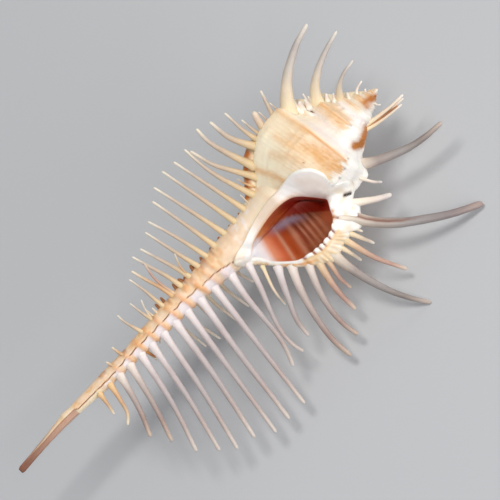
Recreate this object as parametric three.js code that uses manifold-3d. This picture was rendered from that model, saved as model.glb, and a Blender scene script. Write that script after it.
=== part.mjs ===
// Venus comb murex: a spired body whorl on a long straight canal, with three combs of
// hollow-looking spines. The shell is drawn along its own axis (x from canal tip to apex, y to the
// left comb, z to the mouth side) and is then laid on its spine tips, in millimetres with +Z up.
import * as THREE from "three";
import { mergeVertices } from "three/addons/utils/BufferGeometryUtils.js";
import Module from "manifold-3d";

const wasm = await Module();
wasm.setup();

const apex = new THREE.Vector2(131.4, 4.6);
const whorlGrowth = 1.6;
const whorlCount = 6;
const lipShoulder = 27;
const lipAngle = 15;
const faceAngle = 17;
const bodySides = 36;
const spineSides = 5;
const spineTaper = [0.75, 0.5, 0.42, 0.32, 0.16];
const spineRootDepth = 2.5;
const canalRecurve = 3;
const canalFlatness = 0.9;
const canalEnd = 70;
const faceEnd = 90;

// The way that points up when the shell lies on its spines, in its own frame.
const restUp = new THREE.Vector3(-0.107, 0.48, 0.8707).normalize();

// Outline of one whorl: distance from the apex and radius, both as parts of its shoulder distance.
const whorlOutline = [
  [0.8, 0.42],
  [0.87, 0.47],
  [0.94, 0.54],
  [1.0, 0.63],
  [1.05, 0.69],
  [1.3, 0.7],
  [1.44, 0.685],
  [1.54, 0.64],
  [1.63, 0.58],
  [1.76, 0.47],
  [1.85, 0.36],
  [1.93, 0.27],
  [2.1, 0.15],
];

// Canal and columella: place along the shell, middle line and half width.
const canalOutline = [
  [0, 0.05, 0.95],
  [10, 0.85, 1.05],
  [20, 1.3, 1.5],
  [30, 1.1, 2.0],
  [40, 1.15, 2.1],
  [50, 1.5, 2.7],
  [60, 1.65, 3.15],
  [68, 1.6, 3.7],
  [75, 1.5, 4.7],
  [85, 2.05, 5.0],
  [95, 2.6, 4.6],
  [110, 3.42, 4.0],
  [131.4, 4.6, 0],
];

// Varices: the angle each stands at, its share of extra radius and its half width in degrees.
const varices = [
  { angle: 12, rise: 0.12, halfWidth: 16 },
  { angle: 160, rise: 0.1, halfWidth: 16 },
  { angle: 265, rise: 0.1, halfWidth: 16 },
];

const bodyStations = [
  0, 4, 12, 20, 30, 40, 50, 60, 68, 73, 77, 79.5, 81.5, 83.5, 86, 89, 92, 95, 98, 101, 103.5, 106,
  108.5, 110.5, 112, 113.5, 115, 116.5, 118, 119.5, 121, 122.3, 123.6, 125, 126.5, 128.2, 130, 131.4,
];

// Opening of the mouth in the lip's own plane: place along the shell and distance from the axis.
const mouthOutline = [
  [79.2, 4.6],
  [82.1, 2.7],
  [86, 1.9],
  [92, 1.3],
  [95.5, 2],
  [98, 3.8],
  [100.2, 6.2],
  [102.2, 9],
  [101.2, 11.6],
  [99, 14.2],
  [95.7, 15.6],
  [92, 15.7],
  [88, 14.6],
  [84.4, 12.3],
  [81.6, 9.4],
];

// The mouth's tunnel: turn back from the lip in degrees, size against the opening, and lift.
const tunnelMiddle = [91.5, 8];
const tunnelSections = [
  { back: 0, scale: 1.0, lift: 22 },
  { back: 0, scale: 1.0, lift: 0 },
  { back: 22, scale: 0.86, lift: 0 },
  { back: 50, scale: 0.8, lift: 0 },
  { back: 80, scale: 0.72, lift: 0 },
  { back: 108, scale: 0.55, lift: 0 },
];

// Combs: each spine as root x y, bend x y, tip x y and root width.
const lipComb = [
  [27.7, -1, 27.4, -3.8, 26.9, -6.5, 1.2],
  [31.1, -1, 29.6, -7.3, 27.4, -10.8, 1.5],
  [34.6, -1, 32.3, -10, 29.4, -16.9, 1.9],
  [38.2, -1, 35.4, -12.5, 32.4, -21.4, 1.9],
  [42, -1, 38.8, -16, 34.9, -27.6, 1.9],
  [45.7, -1, 42.8, -17, 39.1, -31.5, 1.9],
  [49.8, -1.1, 46.9, -17, 42.6, -34.4, 1.9],
  [53.8, -1.2, 51.5, -17, 47.6, -35.4, 2],
  [57.9, -1.4, 55.6, -17, 52.3, -38.3, 1.9],
  [62.4, -1.6, 59.9, -17, 57, -38.3, 2],
  [67, -2, 65, -17, 62.4, -38.3, 1.8],
  [72, -3, 70.2, -15, 67.3, -29.6, 1.9],
  [77, -4, 73.7, -15.5, 71.2, -28.8, 1.7],
  [78.4, -8, 77, -13, 76.5, -17.4, 0.9],
  [81, -9.9, 77.2, -18.5, 75.2, -27, 2],
  [83.9, -12, 80, -23.6, 79.1, -37.9, 2.2],
  [87.6, -14.2, 84.1, -23.6, 84.1, -35.5, 2],
  [89.8, -16.1, 88.4, -23.6, 88.1, -30.6, 2],
  [91.7, -17, 90.8, -22, 91.1, -26, 1.5],
  [93.9, -18.5, 96.1, -30, 102.6, -42.7, 2.6],
  [96.5, -17, 97.3, -20, 97.8, -23, 1.3],
  [98.6, -16.8, 100.3, -24, 104.3, -32.6, 1.6],
  [100.7, -16, 102, -19.3, 103.1, -22.2, 1.3],
  [103.6, -13, 112.2, -23.6, 129.4, -34.3, 2.8],
  [107.5, -11.8, 110.9, -14.5, 114.8, -16.6, 1.8],
  [111.8, -7.5, 113.1, -10.3, 115.3, -12.7, 1],
];

const leftComb = [
  [35.2, 1.5, 35.1, 3, 34.9, 4.3, 1],
  [38.9, 2, 38.6, 4, 38.3, 5.9, 1],
  [46.3, 3, 45.3, 7.5, 45, 10.5, 1.1],
  [50.3, 3.5, 49.7, 7.3, 49.3, 10.4, 0.9],
  [54.5, 4, 54.3, 9, 53.4, 14.7, 1.2],
  [58, 4, 56.9, 9.8, 55.3, 15.8, 1.2],
  [61.3, 4.2, 60.2, 10.5, 57.9, 18.2, 1.2],
  [64.5, 4.5, 63, 10.6, 60.7, 18.2, 1.2],
  [68.1, 4.5, 66.3, 11.6, 64.5, 20.2, 1.2],
  [71.2, 4.8, 69, 14.4, 66.9, 21.6, 1.3],
  [74.5, 5, 72.9, 15, 71.2, 24.4, 1.4],
  [78.4, 5.5, 76.3, 16, 73.9, 26.6, 1.4],
  [82.1, 6, 80.1, 17.6, 78.2, 28, 1.3],
  [86, 6.6, 83.7, 18.5, 81.9, 27.6, 1.4],
  [89.8, 8.4, 87, 18.5, 86, 27.9, 1.5],
  [92.8, 11, 89.3, 18.4, 86.8, 26.5, 1.6],
  [94.6, 13.5, 92.4, 21.4, 91.8, 29.4, 1.9],
  [99, 15.8, 96.3, 21.4, 95.3, 28.3, 1.8],
  [100.4, 16.6, 99.8, 21, 99.5, 27.2, 1.4],
  [101.8, 17.2, 101.5, 20, 101.3, 23, 1.2],
  [103.8, 17.2, 104.4, 20, 104.8, 22.4, 1.8],
  [107.1, 16.7, 108.4, 20.7, 109.8, 24.8, 1.3],
  [112.5, 16.8, 117.2, 22.7, 129.7, 28.3, 2.8],
  [119, 13.6, 123.8, 18.4, 133.6, 21.9, 2.2],
  [123.8, 10.4, 126.4, 12.8, 131.3, 13.8, 1.5],
];

// The third comb stands under the shell: root x y, bend x y, tip x y, root width and tip depth.
const lowerComb = [
  [44, 0.5, 43.4, 0, 42.2, -1.4, 1.4, -14],
  [49, 0.6, 48.4, 0, 47, -2, 1.5, -17],
  [54, 0.5, 54.2, -3.5, 54.6, -10.9, 1.5, -19],
  [59, 0.6, 58.8, -4, 58.5, -12.1, 1.6, -20.5],
  [64.4, 0.6, 64.4, -3.5, 64.9, -12.3, 1.6, -21.5],
  [69, 0.6, 69, -3.2, 69.5, -11.4, 1.6, -22],
  [74, 1, 74.2, -1.5, 74.7, -7.8, 1.6, -22.5],
  [80, 1.5, 79.4, 1, 78, -1.6, 1.8, -23],
  [86, 2.3, 85.4, 2, 84.6, 0.6, 1.8, -24],
  [92, 3, 91.4, 3.4, 91, 3.2, 1.9, -25],
  [97.5, 3.6, 97.6, 4.6, 98.4, 5.2, 2, -26],
  [103, 3.9, 104, 5.6, 106.4, 7.4, 2.1, -26.5],
  [109.5, 4.2, 112, 6, 118, 8, 2.6, -26.5],
  [118, 4.4, 120.4, 5.4, 125, 6.4, 1.9, -18],
  [123, 4.5, 124.6, 5, 127.4, 5.4, 1.3, -11],
];

// The lip before this one keeps one long spine and the stump of another.
const formerLipSpine = [[115, -5.5, 121.5, -9.6, 136.3, -12.7, 2.6]];
const formerLipStump = [[122.6, 0.6, 127, -0.2, 133.2, -1.6, 1.9]];

function between(table, at, column) {
  const last = table.length - 1;
  if (at <= table[0][0]) return table[0][column];
  if (at >= table[last][0]) return table[last][column];
  const next = table.findIndex((row) => row[0] > at);
  const [low, high] = [table[next - 1], table[next]];
  return THREE.MathUtils.mapLinear(at, low[0], high[0], low[column], high[column]);
}

const axisY = (x) => between(canalOutline, x, 1);
const axisZ = (x) => -canalRecurve * Math.max(0, 1 - x / 60) ** 2;

// How far round the spiral an angle lies behind the lip, in whole turns.
function turnsBack(angle) {
  return THREE.MathUtils.euclideanModulo(lipAngle - angle, 360) / 360;
}

function varixSwell(angle) {
  let swell = 1;
  for (const { angle: middle, rise, halfWidth } of varices) {
    const off = Math.abs(THREE.MathUtils.euclideanModulo(angle - middle + 180, 360) - 180);
    swell += rise * Math.max(0, 1 - off / halfWidth);
  }
  return swell;
}

// Radius of the widest whorl at a place along the shell, each whorl smaller by the growth.
function whorlRadius(x, turns) {
  const reach = apex.x - x;
  let radius = 0;
  for (let whorl = 0; whorl < whorlCount; whorl += 1) {
    const shoulder = lipShoulder / whorlGrowth ** (turns + whorl);
    const part = reach / shoulder;
    if (part >= whorlOutline[0][0] && part < whorlOutline.at(-1)[0]) {
      radius = Math.max(radius, shoulder * between(whorlOutline, part, 1));
    }
  }
  return radius;
}

// The last whorl ends at the lip, and a flat face runs from there in to the columella.
function shellRadius(x, angle) {
  const core = between(canalOutline, x, 2);
  const whorl = whorlRadius(x, turnsBack(angle)) * varixSwell(angle);
  let radius = Math.max(core, whorl);
  if (angle > lipAngle && angle < faceEnd) {
    const lip = whorlRadius(x, 0) * varixSwell(lipAngle);
    const faceHeight = lip * Math.sin(THREE.MathUtils.degToRad(faceAngle));
    const face = Math.min(lip, faceHeight / Math.sin(THREE.MathUtils.degToRad(angle)));
    radius = Math.max(radius, face);
  }
  return radius;
}

function toSolid(geometry) {
  geometry.deleteAttribute("normal");
  geometry.deleteAttribute("uv");
  const merged = mergeVertices(geometry, 1e-4);
  return new wasm.Manifold(
    new wasm.Mesh({
      numProp: 3,
      vertProperties: new Float32Array(merged.attributes.position.array),
      triVerts: new Uint32Array(merged.index.array),
    }),
  );
}

// A closed cylinder whose rings are moved to new places: place(level, turn) gives each point, with
// level from 0 at one end to 1 at the other, and a ring's middle where turn is null.
function reshapedCylinder(sides, steps, place) {
  const geometry = new THREE.CylinderGeometry(1, 1, 1, sides, steps);
  const position = geometry.attributes.position;
  const corner = new THREE.Vector3();
  for (let i = 0; i < position.count; i += 1) {
    corner.fromBufferAttribute(position, i);
    const middle = Math.hypot(corner.x, corner.z) < 0.5;
    const side = Math.round((Math.atan2(corner.x, corner.z) / (2 * Math.PI)) * sides);
    const turn = middle ? null : THREE.MathUtils.euclideanModulo(side, sides) / sides;
    const point = place(corner.y + 0.5, turn);
    position.setXYZ(i, point.x, point.y, point.z);
  }
  return geometry;
}

function body() {
  const steps = bodyStations.length - 1;
  const geometry = reshapedCylinder(bodySides, steps, (level, turn) => {
    const x = bodyStations[Math.round((1 - level) * steps)];
    if (turn === null) return new THREE.Vector3(x, axisY(x), axisZ(x));
    const angle = turn * 360;
    const radius = Math.max(0.15, shellRadius(x, angle));
    const way = THREE.MathUtils.degToRad(angle);
    const flat = x < canalEnd ? canalFlatness : 1;
    return new THREE.Vector3(
      x,
      axisY(x) - radius * Math.cos(way),
      axisZ(x) + radius * Math.sin(way) * flat,
    );
  });
  return toSolid(geometry);
}

// A round spine bent through its points, wide at the root and drawn out to a blunt tip.
function spine(points, width) {
  const curve = new THREE.CatmullRomCurve3(points);
  const steps = spineTaper.length - 1;
  const frames = curve.computeFrenetFrames(steps);
  const geometry = reshapedCylinder(spineSides, steps, (level, turn) => {
    const step = Math.round(level * steps);
    const point = curve.getPointAt(level);
    if (turn === null) return point;
    const way = turn * 2 * Math.PI;
    return point
      .addScaledVector(frames.normals[step], Math.cos(way) * spineTaper[step] * width)
      .addScaledVector(frames.binormals[step], Math.sin(way) * spineTaper[step] * width);
  });
  return toSolid(geometry);
}

function comb(rows, rootHeight, bendHeight, tipHeight) {
  return rows.map(([rootX, rootY, bendX, bendY, tipX, tipY, width, depth]) => {
    const root = new THREE.Vector3(rootX, rootY, rootHeight(rootX));
    const bend = new THREE.Vector3(bendX, bendY, bendHeight(rootX, depth));
    const tip = new THREE.Vector3(tipX, tipY, tipHeight(rootX, depth));
    const inner = root.clone().sub(bend).setLength(spineRootDepth).add(root);
    return spine([inner, root, bend, tip], width);
  });
}

// The tunnel's sections turn back round the axis from the lip, shrinking as the whorl does.
function mouthTunnel() {
  const steps = tunnelSections.length - 1;
  const sides = mouthOutline.length;
  const [middleX, middleReach] = tunnelMiddle;
  const geometry = reshapedCylinder(sides, steps, (level, turn) => {
    const { back, scale, lift } = tunnelSections[Math.round(level * steps)];
    const [rimX, rimReach] = turn === null ? tunnelMiddle : mouthOutline[Math.round(turn * sides)];
    const shrink = whorlGrowth ** (-back / 360);
    const x = apex.x - shrink * (apex.x - THREE.MathUtils.lerp(middleX, rimX, scale));
    const reach = shrink * THREE.MathUtils.lerp(middleReach, rimReach, scale);
    const way = THREE.MathUtils.degToRad(-back);
    return new THREE.Vector3(x, axisY(x) - reach * Math.cos(way), reach * Math.sin(way) + lift);
  });
  return toSolid(geometry);
}

// Turns the shell so that restUp points up and its canal lies along x, standing on the floor.
function layOnSpines(mesh) {
  const along = new THREE.Vector3(1, 0, 0).projectOnPlane(restUp).normalize();
  const across = new THREE.Vector3().crossVectors(restUp, along);
  mesh.quaternion.setFromRotationMatrix(new THREE.Matrix4().makeBasis(along, across, restUp).transpose());
  mesh.updateMatrixWorld();
  const box = new THREE.Box3().setFromObject(mesh, true);
  const middle = box.getCenter(new THREE.Vector3());
  mesh.position.set(-middle.x, -middle.y, -box.min.z);
}

const rising = (low, high) => (x) => THREE.MathUtils.mapLinear(x, 30, 110, low, high);
const onVarix = (angle, share) => (x) => share * shellRadius(x, angle);
const parts = [
  ...comb(lipComb, onVarix(12, 0.2), rising(1, 4), rising(2, -1)),
  ...comb(leftComb, onVarix(160, 0.3), rising(1.6, 5), rising(3, 5.5)),
  ...comb(lowerComb, onVarix(265, -0.5), (x, depth) => depth * 0.6, (x, depth) => depth),
  ...comb(formerLipSpine, () => 1.5, () => 2, () => 3),
  ...comb(formerLipStump, () => 0.5, () => 0.8, () => 1),
];
let shell = body();
for (const part of parts) shell = shell.add(part);
shell = shell.subtract(mouthTunnel());

const { vertProperties, triVerts } = shell.getMesh();
const geometry = new THREE.BufferGeometry();
geometry.setAttribute("position", new THREE.BufferAttribute(vertProperties, 3));
geometry.setIndex(new THREE.BufferAttribute(triVerts, 1));
geometry.computeVertexNormals();

const murexShell = new THREE.Mesh(
  geometry,
  new THREE.MeshStandardMaterial({ color: 0xf3dcc2, roughness: 0.5, metalness: 0 }),
);
murexShell.name = "murex_shell";
layOnSpines(murexShell);

const group = new THREE.Group();
group.add(murexShell);

export default group;
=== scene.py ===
import math

import bpy
import numpy as np
from mathutils import Matrix, Vector


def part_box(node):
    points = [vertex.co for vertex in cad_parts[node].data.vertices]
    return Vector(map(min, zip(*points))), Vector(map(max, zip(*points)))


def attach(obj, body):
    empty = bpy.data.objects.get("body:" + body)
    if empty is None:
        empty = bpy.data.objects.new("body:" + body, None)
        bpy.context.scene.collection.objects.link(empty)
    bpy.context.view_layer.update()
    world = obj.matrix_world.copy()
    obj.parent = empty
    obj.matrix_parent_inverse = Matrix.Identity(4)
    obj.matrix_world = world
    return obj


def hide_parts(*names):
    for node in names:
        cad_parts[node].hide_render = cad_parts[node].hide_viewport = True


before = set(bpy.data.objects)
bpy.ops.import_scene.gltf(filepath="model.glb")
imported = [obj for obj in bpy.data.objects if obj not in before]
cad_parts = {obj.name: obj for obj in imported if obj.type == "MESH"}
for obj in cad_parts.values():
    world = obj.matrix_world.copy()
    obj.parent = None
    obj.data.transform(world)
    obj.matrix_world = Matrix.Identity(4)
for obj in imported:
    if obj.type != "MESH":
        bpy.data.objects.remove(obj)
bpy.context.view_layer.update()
print("frame loaded")

# The shell is drawn in its own frame, in millimetres: x from canal tip to apex, y to the left comb,
# z to the mouth. It is then turned to lie on its spine tips and scaled to metres.
pose = {
    "restUp": (-0.107, 0.48, 0.8707),  # the way that points up as it lies
    "millimetre": 0.001,
}
coil = {
    "apex": (131.4, 4.6),
    "growth": 1.6,  # size of one whorl against the next
    "lipShoulder": 27.0,  # apex to shoulder line at the lip
    "lipAngle": 15.0,  # degrees from the right side towards the mouth side
    "turns": 8.2,
    "cordSpacing": 1.42,
    "cordHeight": 0.1,
    "bentLength": 60.0,  # the canal bends back over this length from its tip, mm
    "bentDepth": 3.0,
}
# distance from the apex and radius, both against the shoulder distance
whorlOutline = [
    (0.79, 0.36), (0.80, 0.42), (0.87, 0.47), (0.94, 0.54), (0.985, 0.615), (1.005, 0.65),
    (1.05, 0.69), (1.15, 0.70), (1.3, 0.70), (1.44, 0.685), (1.54, 0.64), (1.63, 0.58),
    (1.76, 0.47), (1.85, 0.36), (1.93, 0.27), (2.08, 0.16),
]
# place along the shell, middle line, half width
canalOutline = [
    (0, 0.05, 0.95), (5, 0.45, 0.95), (10, 0.87, 1.07), (15, 1.2, 1.33), (16.6, 1.27, 1.42),
    (17.3, 1.4, 1.62), (20, 1.3, 1.52), (30, 1.1, 2.0), (40, 1.15, 2.1), (50, 1.5, 2.7),
    (60, 1.65, 3.15), (68, 1.6, 3.7), (75, 1.5, 4.7), (85, 2.05, 5.1), (89, 2.25, 5.7), (93, 2.45, 6.7),
    (97, 2.7, 6.4), (110, 3.42, 4.0), (131.4, 4.6, 0.1),
]
# mouth, going round from the canal along the callus and back along the lip: outer edge x y z,
# inner edge x y z, and how much the row belongs to the lip; callus rows, at 0, take z from the shell
mouthTable = [
    (74.5, -1.2, 3.8, 78.9, -3.0, 3.0, 0.7), (76.5, 0.3, 4.5, 79.8, -2.3, 3.3, 0.4),
    (80, 1.1, 0, 81.6, -0.9, 0, 0),
    (84, 2.5, 0, 84.8, 0.15, 0, 0), (88, 3.6, 0, 88.6, 0.95, 0, 0), (92, 4.2, 0, 91.8, 1.2, 0, 0),
    (95.5, 4.3, 0, 94.6, 0.95, 0, 0), (98.5, 4.7, 0, 96.6, 0.3, 0, 0), (101, 4.75, 0, 98.1, -0.8, 0, 0),
    (103.6, 3.5, 0, 99.3, -2.1, 0, 0), (105.3, 1.5, 0, 100.5, -3.5, 0, 0),
    (106.2, -1, 0, 101.4, -4.7, 0, 0),
    (106.1, -3.2, 0, 102.1, -5.6, 7.5, 0.1), (107.2, -5, 8, 102.3, -6.1, 7.2, 0.4),
    (109.6, -6.6, 6.8, 102.0, -6.9, 6.9, 0.8), (109.8, -8.1, 5.0, 101.5, -7.7, 6.6, 1),
    (108.3, -9.7, 4.4, 101.0, -8.6, 6.3, 1), (106.9, -10.9, 3.8, 100.6, -9.5, 5.9, 1),
    (107.4, -12.5, 4.2, 100.1, -10.3, 5.6, 1), (106.1, -14.2, 4.2, 99.5, -10.9, 5.4, 1),
    (104.4, -16.6, 4.2, 98.8, -11.5, 5.4, 1), (102.5, -17.0, 4.2, 98.0, -12.1, 5.4, 1),
    (101.2, -16.2, 4.2, 97.0, -12.5, 5.4, 1), (99.5, -16.7, 4.2, 96.0, -12.75, 5.4, 1),
    (97.5, -17.0, 4.2, 94.8, -12.9, 5.4, 1), (95.6, -17.8, 4.3, 93.6, -13.0, 5.4, 1),
    (92.6, -18.3, 4.3, 92.3, -12.95, 5.3, 1), (90.9, -17.0, 4.1, 90.8, -12.8, 5.2, 1),
    (88.4, -15.4, 3.8, 88.7, -12.4, 4.9, 1), (85.8, -13.4, 3.2, 86.4, -11.5, 4.4, 1),
    (82.9, -10.4, 2.5, 84.1, -9.7, 3.7, 1), (80.6, -7.7, 1.8, 82.1, -7.7, 3.1, 1),
    (79.3, -6.1, 1.4, 80.9, -6.1, 2.7, 1), (77.8, -4.7, 1.0, 80.1, -4.5, 2.5, 0.9),
    (75.8, -3.4, 1.0, 79.3, -3.5, 2.7, 0.5),
]
# upper edge of the opening: the inner edge of the callus rows
mouthEdge = [(row[3], row[4]) for row in mouthTable[:13]]
# the angle each varix stands at, its share of extra radius, and how wide it is in degrees
varices = [(12.0, 0.12, 15.0), (160.0, 0.12, 15.0), (265.0, 0.1, 15.0)]


# screen colour from 0 to 255 to a linear colour
def srgb(red, green, blue):
    channels = np.array([red, green, blue], float) / 255
    return np.where(channels <= 0.04045, channels / 12.92, ((channels + 0.055) / 1.055) ** 2.4)


# one column of a table read at any place, by straight lines between its rows
def column(table, index, at):
    rows = np.array(table, float)
    return np.interp(at, rows[:, 0], rows[:, index])


# middle line of the shell: its y, by straight lines between the rows of the outline
def axisY(x):
    return column(canalOutline, 1, x)


# its z, which falls near the canal's tip with the square of the way
def axisZ(x):
    return -coil["bentDepth"] * np.maximum(0, 1 - np.asarray(x, float) / coil["bentLength"]) ** 2


# cubic between two points that leaves and arrives along their slopes, for t from 0 to 1
def cubic(start, startSlope, end, endSlope, t):
    return ((2 * t**3 - 3 * t**2 + 1) * start + (t**3 - 2 * t**2 + t) * startSlope
            + (3 * t**2 - 2 * t**3) * end + (t**3 - t**2) * endSlope)


# length walked along the points up to each of them
def walked(points):
    return np.concatenate([[0], np.cumsum(np.linalg.norm(np.diff(points, axis=0), axis=1))])


# path through the points at even steps of length: a cubic between each pair, with slopes from the
# points before and after
def smoothPath(points, count):
    points = np.array(points, float)
    knots = walked(points)
    slopes = np.gradient(points, knots, axis=0)
    fine = np.linspace(0, knots[-1], 40 * len(points))
    cell = np.clip(np.searchsorted(knots, fine, side="right") - 1, 0, len(points) - 2)
    span = (knots[cell + 1] - knots[cell])[:, None]
    t = (fine - knots[cell])[:, None] / span
    curve = cubic(points[cell], span * slopes[cell], points[cell + 1], span * slopes[cell + 1], t)
    length = walked(curve)
    steps = np.linspace(0, length[-1], count)
    return np.stack([np.interp(steps, length, curve[:, k]) for k in range(curve.shape[1])], 1)


# closed path through table rows, each step between rows cut into the same number of parts
def smoothRing(rows, parts):
    rows = np.array(rows, float)
    slopes = (np.roll(rows, -1, axis=0) - np.roll(rows, 1, axis=0))[:, None, :] / 2
    t = np.linspace(0, 1, parts, endpoint=False)[None, :, None]
    after = np.roll(rows, -1, axis=0)[:, None, :]
    curve = cubic(rows[:, None, :], slopes, after, np.roll(slopes, -1, axis=0), t)
    return curve.reshape(-1, rows.shape[1])


# smooth bump: one at zero, a third at its width
def bell(distance, width):
    return np.exp(-(distance / width) ** 2)


# zero below low, one above high, a smooth rise between
def ramp(value, low, high):
    t = np.clip((value - low) / (high - low), 0, 1)
    return t * t * (3 - 2 * t)


# fixed uneven number from 0 to 1 for each pair of whole numbers: the fraction of a large sine
def uneven(a, b):
    return np.modf(np.abs(np.sin(a * 12.9898 + b * 78.233)) * 43758.5453)[0]


# soft patches from 0 to 1: uneven numbers at whole steps, blended smoothly between
def patches(a, b):
    a, b = np.broadcast_arrays(a, b)
    lowA, lowB = np.floor(a), np.floor(b)
    shareA, shareB = ramp(a - lowA, 0, 1), ramp(b - lowB, 0, 1)
    near = uneven(lowA, lowB) * (1 - shareA) + uneven(lowA + 1, lowB) * shareA
    far = uneven(lowA, lowB + 1) * (1 - shareA) + uneven(lowA + 1, lowB + 1) * shareA
    return near * (1 - shareB) + far * shareB


# colour a share of the way from the first to the second
def mix(first, second, share):
    return first + (second - first) * np.clip(share, 0, 1)[..., None]


# mixes layers over a colour in order, each given as its tone and its share
def paint(colour, layers):
    for tone, share in layers:
        colour = mix(colour, tone, share)
    return colour


# one even colour at every point of a grid of this shape
def even(tone, shape):
    return tone * np.ones((*shape, 3))


# colour read from stops, each a place and its tone, by straight lines between them
def gradient(stops, at):
    places = [place for place, _ in stops]
    tones = np.array([tone for _, tone in stops])
    return np.stack([np.interp(at, places, tones[:, k]) for k in range(3)], -1)


# sum of round spots, each given as x, y, radius and strength
def spots(x, y, places):
    return sum(force * bell(np.hypot(x - px, y - py), size) for px, py, size, force in places)


# shortest distance to a line of straight pieces, seen from the mouth side
def lineDistance(x, y, points):
    nearest = np.full(np.broadcast(x, y).shape, 1e9)
    for (startX, startY), (endX, endY) in zip(points[:-1], points[1:]):
        wide, high = endX - startX, endY - startY
        share = np.clip(((x - startX) * wide + (y - startY) * high) / (wide**2 + high**2), 0, 1)
        nearest = np.minimum(nearest, np.hypot(x - startX - share * wide, y - startY - share * high))
    return nearest


# one at each root of a comb and zero half way between two
def rootWave(x, roots):
    phase = np.interp(x, roots, np.arange(len(roots)), left=-0.5, right=len(roots) - 0.5)
    return 0.5 + 0.5 * np.cos(2 * math.pi * phase)


# extra share of radius by each varix: a rise on the older side and a steeper fall past it
def varixSwell(angle):
    swell = np.zeros_like(angle)
    for middle, rise, width in varices:
        off = (angle - middle + 180) % 360 - 180
        swell = swell + rise * np.where(off < 0, bell(off, width), bell(off, width * 0.45))
    return swell


# radius of the widest whorl at a place along the shell, each whorl smaller by the growth
def whorlRadius(x, turnsBack):
    outline = np.array(whorlOutline[1:])
    radius = np.zeros(np.broadcast(x, turnsBack).shape)
    for count in range(6):
        shoulder = coil["lipShoulder"] / coil["growth"] ** (turnsBack + count)
        reach = (coil["apex"][0] - x) / shoulder
        found = np.interp(reach, outline[:, 0], outline[:, 1], left=0, right=0)
        radius = np.maximum(radius, shoulder * found)
    return radius


# radius of the whole shell: the wider of whorl and canal
def shellRadius(x, angle):
    turnsBack = (coil["lipAngle"] - angle) % 360 / 360
    return np.maximum(whorlRadius(x, turnsBack), column(canalOutline, 2, x))


# height of the shell's front over a point: the angle is turned until radius and y agree
def frontHeight(x, y):
    angle = np.full(np.broadcast(x, y).shape, 90.0)
    for _ in range(12):
        radius = shellRadius(x, angle)
        cosine = np.clip((axisY(x) - y) / radius, -0.98, 0.98)
        angle = 0.5 * angle + 0.5 * np.maximum(np.degrees(np.arccos(cosine)), coil["lipAngle"] + 1)
    return radius * np.sin(np.radians(angle)) + axisZ(x)


# every grid is kept here with its colours until all are joined into the one shell
grids = []


# keeps a grid of rings, row by row, with a colour and a relief value at each point: the last column
# joins the first, and a middle point closes each end, unless the start already meets itself
def addGrid(points, colour, relief, capStart=True):
    rows, columns = points.shape[:2]
    index = np.arange(rows * columns).reshape(rows, columns)
    turned = np.roll(index, -1, axis=1)
    faces = np.stack([index[:-1], index[1:], turned[1:], turned[:-1]], -1).reshape(-1, 4)
    vertices = np.concatenate([points.reshape(-1, 3), points[[0, -1]].mean(axis=1)])
    colour = np.concatenate([colour.reshape(-1, 3), colour[[0, -1]].mean(axis=1)])
    relief = np.concatenate([relief.reshape(-1, 3), relief[[0, -1]].mean(axis=1)])
    first = np.stack([np.full(columns, rows * columns), index[0], turned[0]], 1)
    last = np.stack([np.full(columns, rows * columns + 1), turned[-1], index[-1]], 1)
    triangles = np.concatenate([first, last]) if capStart else last
    # turned over if the faces would enclose less than nothing
    a, b, c, d = (vertices[faces[:, k]] for k in range(4))
    if np.einsum("ij,ij->", a, np.cross(b, c) + np.cross(c, d)) < 0:
        faces = faces[:, ::-1]
        triangles = triangles[:, ::-1]
    grids.append((vertices, faces, triangles, colour, relief))


whorl = {
    "rows": 104,  # points across the outside
    "innerRows": 14,
    "wall": 0.4,  # thickness of the sheet, mm
    "cream": srgb(246, 226, 198),
    "yellow": srgb(251, 219, 178),
    "white": srgb(255, 251, 243),
    "ivory": srgb(255, 240, 212),
    "tan": srgb(228, 174, 112),
    "orange": srgb(208, 134, 60),
    "ramp": srgb(246, 234, 228),
    "dirt": srgb(184, 110, 34),
    "darkDirt": srgb(92, 48, 22),
    "shade": srgb(88, 14, 4),
    # tan stripes across the last whorl: path, half width, strength
    "stripes": [
        ([(95.0, 12), (96.3, 9), (97.8, 5)], 0.8, 0.75),
        ([(100.6, 11.5), (102.8, 8), (104.4, 5)], 1.1, 0.45),
        ([(104.2, 14), (105, 9)], 0.9, 0.4), ([(109.2, 18.5), (109.8, 13), (110.4, 9)], 0.9, 0.6),
        ([(107.6, 11), (108, -3)], 0.8, 0.35),
    ],
    "brownPath": [(116.6, -1.6), (118, -2.4), (120, -1.6), (122, -0.7)],  # dirt by the old right varix
    "ochrePath": [(125.8, 3.7), (127.2, 4.1), (128.8, 3.6)],  # dirt by the apex
    "specks": [(110.7, -3.8, 0.35, 1), (108.2, -4.5, 0.3, 1), (113, -2.6, 0.2, 1), (119.4, 2.8, 0.25, 1),
               (104.5, 4.4, 0.2, 1)],
    "underCallus": [(88, 2.4), (98, 2.4), (101.8, 0.8), (103, -1.6), (102.8, -4), (101.9, -5.6)],
    # right side of the older whorls, flattened where their varix is broken
    "brokenEdge": [(108, -12), (113.7, -8), (116.2, -5), (118.7, -3.2), (121.9, -1), (126.4, 0.8),
                   (131.4, 4)],
    "dent": [(116.4, -1.4), (118, -3)],
}


# tone shared by the end of the whorl and the canal under it: cream with tan patches, by place alone
def seamTone(colour, points):
    x, y = points[..., 0], points[..., 1]
    share = ramp(x, 87, 90) * (1 - ramp(x, 95, 103))
    patch = ramp(patches(x * 0.9 + 3, y * 0.3), 0.35, 0.8) * ramp(x, 90, 93)
    colour = mix(colour, whorl["cream"], share)
    return mix(colour, whorl["tan"], share * patch * 0.7)


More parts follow.
